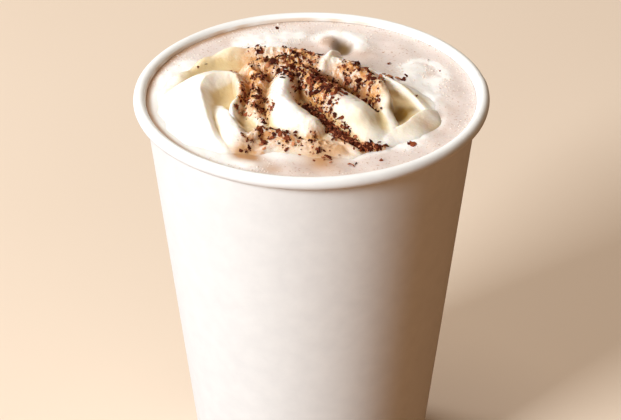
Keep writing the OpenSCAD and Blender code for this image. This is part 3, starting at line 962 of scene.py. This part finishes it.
def froth_material():
    """Milky froth: pale pinkish beige, with melted cream in it and fine bubbles."""
    material, tree, shader, where = new_material("milky_froth")
    cloud = noise(tree, where, 180, 5)
    froth = ramp(tree, cloud, [(0.35, (0.735, 0.637, 0.60)), (0.65, (0.77, 0.68, 0.645))])
    grain = noise(tree, where, 1500, 3)
    speck = ramp(tree, grain, [(0.30, (0.66, 0.48, 0.38)), (0.40, (1, 1, 1))])
    froth = mix(tree, 1, froth, speck, "MULTIPLY")
    white = mix(tree, attribute(tree, "melt"), froth, (0.98, 0.97, 0.96))
    # cocoa in the froth, partly painted shade along the left wall
    stained = mix(tree, attribute(tree, "cocoa"), white, (0.50, 0.27, 0.13))
    brown = mix(tree, attribute(tree, "hole"), stained, (0.17, 0.095, 0.03))
    tree.links.new(brown, shader.inputs["Base Color"])
    shader.inputs["Roughness"].default_value = 0.4
    shader.inputs["Subsurface Weight"].default_value = 0.2
    shader.inputs["Subsurface Radius"].default_value = (1.0, 0.6, 0.4)
    shader.inputs["Subsurface Scale"].default_value = 0.0012
    bump(tree, shader, [(noise(tree, where, 1800, 3), 0.2, 0.0002)])
    return material


def bubble_material():
    """Thin milky bubbles, glossy."""
    material, tree, shader, where = new_material("milky_bubbles")
    cloud = noise(tree, where, 700, 2)
    milky = ramp(tree, cloud, [(0.35, (0.78, 0.65, 0.57)), (0.65, (0.86, 0.76, 0.69))])
    tree.links.new(milky, shader.inputs["Base Color"])
    shader.inputs["Roughness"].default_value = 0.35
    return material


def chocolate_material():
    """Dry broken chocolate, from near black to reddish brown."""
    material, tree, shader, where = new_material("dark_chocolate")
    tone = ramp(tree, attribute(tree, "shade"),
                [(0.0, (0.034, 0.004, 0.001)), (0.5, (0.092, 0.014, 0.004)),
                 (0.82, (0.26, 0.062, 0.022)), (1.0, (0.60, 0.25, 0.12))])
    tree.links.new(tone, shader.inputs["Base Color"])
    shader.inputs["Roughness"].default_value = 0.7
    shader.inputs["Specular IOR Level"].default_value = 0.12
    bump(tree, shader, [(noise(tree, where, 3000, 2), 0.3, 0.0001)])
    return material


def floor_material():
    """Plain pale studio floor, which throws the warm light of a brown table on the cup."""
    material, tree, shader, where = new_material("studio_floor")
    faint = noise(tree, where, 3, 2)
    pale = ramp(tree, faint, [(0.3, (0.76, 0.63, 0.51)), (0.7, (0.80, 0.67, 0.55))])
    seen = tree.nodes.new("ShaderNodeLightPath").outputs["Is Camera Ray"]
    floor = mix(tree, seen, (0.25, 0.12, 0.05), pale)
    tree.links.new(floor, shader.inputs["Base Color"])
    shader.inputs["Roughness"].default_value = 0.8
    return material


# -------------------- the pieces, put together


def finish_piece(piece, material, slot, *nodes):
    """Gives a piece its material and its body, and hides the CAD nodes that it stands for. The slot is
    not used.
    """
    piece.data.materials.append(material)
    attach(piece, "root")
    if nodes:
        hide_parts(*nodes)


paper = paper_material()
finish_piece(make_cup(), paper, "cup_paper", "cup_wall")
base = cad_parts["cup_base"]
base.data.materials.clear()
base.data.materials.append(paper)

cream, cream_skin = make_cream()
paint_cream(cream, cream_skin)
finish_piece(cream, cream_material(), "cream", "whipped_cream")

drink, froth_skin, foam = make_drink()
finish_piece(drink, froth_material(), "chocolate_froth", "drink")

finish_piece(make_bubbles(froth_skin, foam), bubble_material(), "chocolate_froth")

chocolate = chocolate_material()
for piece in make_chocolate(cream_skin, froth_skin):
    finish_piece(piece, chocolate, "dark_chocolate")


# -------------------- studio


def make_light(name, place, aim, size, power, colour):
    """A square soft light at place, turned to face aim."""
    data = bpy.data.lights.new(name, "AREA")
    data.size = size
    data.energy = power
    data.color = colour
    light = bpy.data.objects.new(name, data)
    light.location = place
    facing = np.array(aim) - np.array(place)
    flat = np.hypot(facing[0], facing[1])
    light.rotation_euler = (np.arctan2(flat, -facing[2]), 0, np.arctan2(-facing[0], facing[1]))
    bpy.context.scene.collection.objects.link(light)


def make_studio():
    """A pale floor, two soft lights from the left, and weak warm ones above and at the right."""
    half = 3.0
    corners = np.array([[-half, -half, 0], [half, -half, 0], [half, half, 0], [-half, half, 0]])
    floor = mesh_piece("studio_floor", corners / MM, [np.array([[0, 1, 2, 3]])])
    floor.data.materials.append(floor_material())
    make_light("window", (-1.0, -0.86, 0.80), (0, 0, 0.08), 0.5, 27.5, (0.94, 0.985, 1.0))
    make_light("back_window", (-0.8, 0.7, 1.1), (0, 0, 0.1), 0.5, 10, (1.0, 0.98, 0.94))
    make_light("ceiling", (-0.1, 0.1, 1.1), (0, 0, 0.1), 0.5, 2.0, (1.0, 0.88, 0.70))
    make_light("warm_side", (0.5, -1.1, 0.5), (0, 0, 0.08), 0.6, 0.9, (1.0, 0.48, 0.16))
    world = bpy.data.worlds.new("studio")
    world.use_nodes = True
    sky = world.node_tree.nodes["Background"]
    sky.inputs["Color"].default_value = (1.0, 0.64, 0.38, 1)
    sky.inputs["Strength"].default_value = 0.14
    bpy.context.scene.world = world
    bpy.context.scene.view_settings.view_transform = "Standard"


make_studio()
